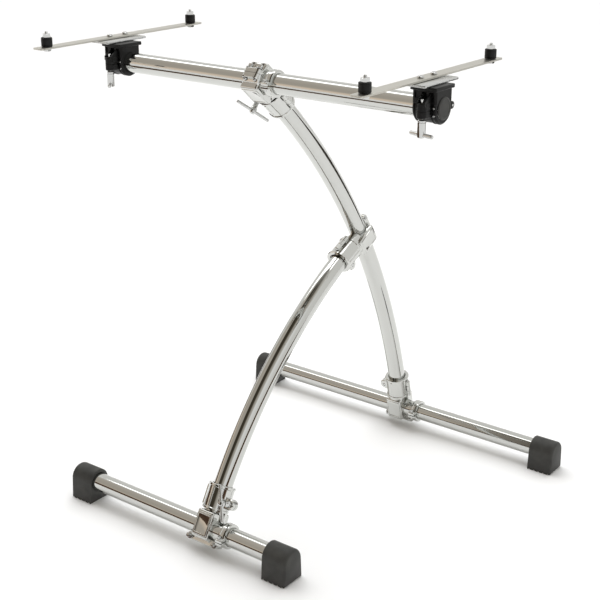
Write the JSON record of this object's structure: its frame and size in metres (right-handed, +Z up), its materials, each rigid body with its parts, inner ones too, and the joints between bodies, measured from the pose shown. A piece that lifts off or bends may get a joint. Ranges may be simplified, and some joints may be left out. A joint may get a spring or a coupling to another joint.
{
  "type": "vibraphone stand",
  "caption": "Curved-leg tubular rack stand for an electronic vibraphone, with tee clamps, a crossbar and sliding instrument rails.",
  "frame": {"origin": "on the floor, at the middle of the stand's outline", "axes": "+Z up, +X along the crossbar to the player's right, -Y towards the player"},
  "size_m": [0.828, 0.7597, 0.9658],
  "materials": {
    "chromed_tube": "polished chrome plate on bent steel tube",
    "chromed_casting": "chrome plate on die-cast zinc",
    "chromed_fastener": "bright chrome plate on turned steel",
    "foot_rubber": "moulded matt rubber",
    "rest_rubber": "moulded matt rubber",
    "black_plastic": "moulded glass-filled nylon, fine texture",
    "satin_aluminium": "satin anodised flat bar",
    "zinc_plate": "bright zinc plate"
  },
  "bodies": {
    "long_leg": {"long_leg_tube": "chromed_tube"},
    "top_clamp": {"top_clamp_body": "chromed_casting", "top_clamp_tube_jaw": "chromed_casting", "top_clamp_leg_jaw": "chromed_casting", "top_clamp_key_bolt_1": "chromed_fastener", "top_clamp_key_bolt_2": "chromed_fastener"},
    "back_clamp": {"back_clamp_body": "chromed_casting", "back_clamp_tube_jaw": "chromed_casting", "back_clamp_leg_jaw": "chromed_casting", "back_clamp_key_bolt_1": "chromed_fastener", "back_clamp_key_bolt_2": "chromed_fastener"},
    "crossbar": {"crossbar_tube": "chromed_tube", "crossbar_left_end_cap": "black_plastic", "crossbar_right_end_cap": "black_plastic", "top_collar": "chromed_casting"},
    "left_rail": {"left_rail_clamp_body": "black_plastic", "left_rail_clamp_jaw": "black_plastic", "left_rail": "satin_aluminium", "left_rail_plate": "zinc_plate", "left_rail_bolt_1": "zinc_plate", "left_rail_bolt_2": "zinc_plate", "left_front_rest": "rest_rubber", "left_front_rest_stud": "chromed_fastener", "left_back_rest": "rest_rubber", "left_back_rest_stud": "chromed_fastener"},
    "right_rail": {"right_rail_clamp_body": "black_plastic", "right_rail_clamp_jaw": "black_plastic", "right_rail": "satin_aluminium", "right_rail_plate": "zinc_plate", "right_rail_bolt_1": "zinc_plate", "right_rail_bolt_2": "zinc_plate", "right_front_rest": "rest_rubber", "right_front_rest_stud": "chromed_fastener", "right_back_rest": "rest_rubber", "right_back_rest_stud": "chromed_fastener"},
    "back_foot": {"back_foot_tube": "chromed_tube", "back_left_foot": "foot_rubber", "back_right_foot": "foot_rubber", "back_collar": "chromed_casting"},
    "mid_clamp": {"mid_clamp_body": "chromed_casting", "mid_clamp_tube_jaw": "chromed_casting", "mid_clamp_leg_jaw": "chromed_casting", "mid_clamp_key_bolt_1": "chromed_fastener", "mid_clamp_key_bolt_2": "chromed_fastener"},
    "short_leg": {"short_leg_tube": "chromed_tube"},
    "front_clamp": {"front_clamp_body": "chromed_casting", "front_clamp_tube_jaw": "chromed_casting", "front_clamp_leg_jaw": "chromed_casting", "front_clamp_key_bolt_1": "chromed_fastener", "front_clamp_key_bolt_2": "chromed_fastener"},
    "front_foot": {"front_foot_tube": "chromed_tube", "front_left_foot": "foot_rubber", "front_right_foot": "foot_rubber", "front_collar": "chromed_casting"},
    "top_handle": {"top_clamp_handle": "chromed_fastener"},
    "back_handle": {"back_clamp_handle": "chromed_fastener"},
    "mid_handle": {"mid_clamp_handle": "chromed_fastener"},
    "front_handle": {"front_clamp_handle": "chromed_fastener"},
    "left_rail_screw": {"left_rail_clamp_screw": "chromed_fastener"},
    "right_rail_screw": {"right_rail_clamp_screw": "chromed_fastener"}
  },
  "joints": [
    {"name": "top_clamp_twist", "type": "hinge", "parent": "long_leg", "child": "top_clamp", "pos_m": [0.0075, -0.182, 0.892], "axis": [0, 0.7714, -0.6363], "range_deg": [-30, 30]},
    {"name": "crossbar_turn", "type": "hinge", "parent": "top_clamp", "child": "crossbar", "pos_m": [0.0075, -0.182, 0.892], "axis": [1, 0, 0], "range_deg": [-90, 90]},
    {"name": "left_rail_slide", "type": "slide", "parent": "crossbar", "child": "left_rail", "axis": [1, 0, 0], "range_m": [0, 0.24]},
    {"name": "right_rail_slide", "type": "slide", "parent": "crossbar", "child": "right_rail", "axis": [1, 0, 0], "range_m": [-0.25, 0]},
    {"name": "back_clamp_twist", "type": "hinge", "parent": "long_leg", "child": "back_clamp", "pos_m": [0.0075, 0.347, 0.042], "axis": [0, -0.2302, 0.9731], "range_deg": [-30, 30]},
    {"name": "back_foot_turn", "type": "hinge", "parent": "back_clamp", "child": "back_foot", "pos_m": [0.0075, 0.347, 0.042], "axis": [1, 0, 0], "range_deg": [-90, 90]},
    {"name": "mid_clamp_slide", "type": "hinge", "parent": "long_leg", "child": "mid_clamp", "pos_m": [0.0075, -1.0882, -0.2616], "axis": [1, 0, 0], "range_deg": [-4, 4]},
    {"name": "short_leg_twist", "type": "hinge", "parent": "mid_clamp", "child": "short_leg", "pos_m": [0.0075, 0.1573, 0.5135], "axis": [0, -0.9009, -0.4341], "range_deg": [-30, 30]},
    {"name": "front_clamp_twist", "type": "hinge", "parent": "short_leg", "child": "front_clamp", "pos_m": [0.0075, -0.347, 0.042], "axis": [0, 0.4935, 0.8698], "range_deg": [-30, 30]},
    {"name": "front_foot_turn", "type": "hinge", "parent": "front_clamp", "child": "front_foot", "pos_m": [0.0075, -0.347, 0.042], "axis": [1, 0, 0], "range_deg": [-90, 90]},
    {"name": "top_handle_spin", "type": "hinge", "parent": "top_clamp", "child": "top_handle", "pos_m": [-0.0255, -0.138, 0.8557], "axis": [0, 0.6363, 0.7714], "continuous": true},
    {"name": "back_handle_spin", "type": "hinge", "parent": "back_clamp", "child": "back_handle", "pos_m": [-0.0255, 0.3339, 0.0975], "axis": [0, -0.9731, -0.2302], "continuous": true},
    {"name": "mid_handle_spin", "type": "hinge", "parent": "mid_clamp", "child": "mid_handle", "pos_m": [0.0075, 0.1202, 0.4591], "axis": [1, 0, 0], "continuous": true},
    {"name": "front_handle_spin", "type": "hinge", "parent": "front_clamp", "child": "front_handle", "pos_m": [0.0405, -0.3189, 0.0916], "axis": [0, 0.8698, -0.4935], "continuous": true},
    {"name": "left_rail_screw_spin", "type": "hinge", "parent": "left_rail", "child": "left_rail_screw", "pos_m": [-0.33, -0.222, 0.892], "axis": [0, 0, 1], "continuous": true},
    {"name": "right_rail_screw_spin", "type": "hinge", "parent": "right_rail", "child": "right_rail_screw", "pos_m": [0.3765, -0.222, 0.892], "axis": [0, 0, 1], "continuous": true}
  ]
}
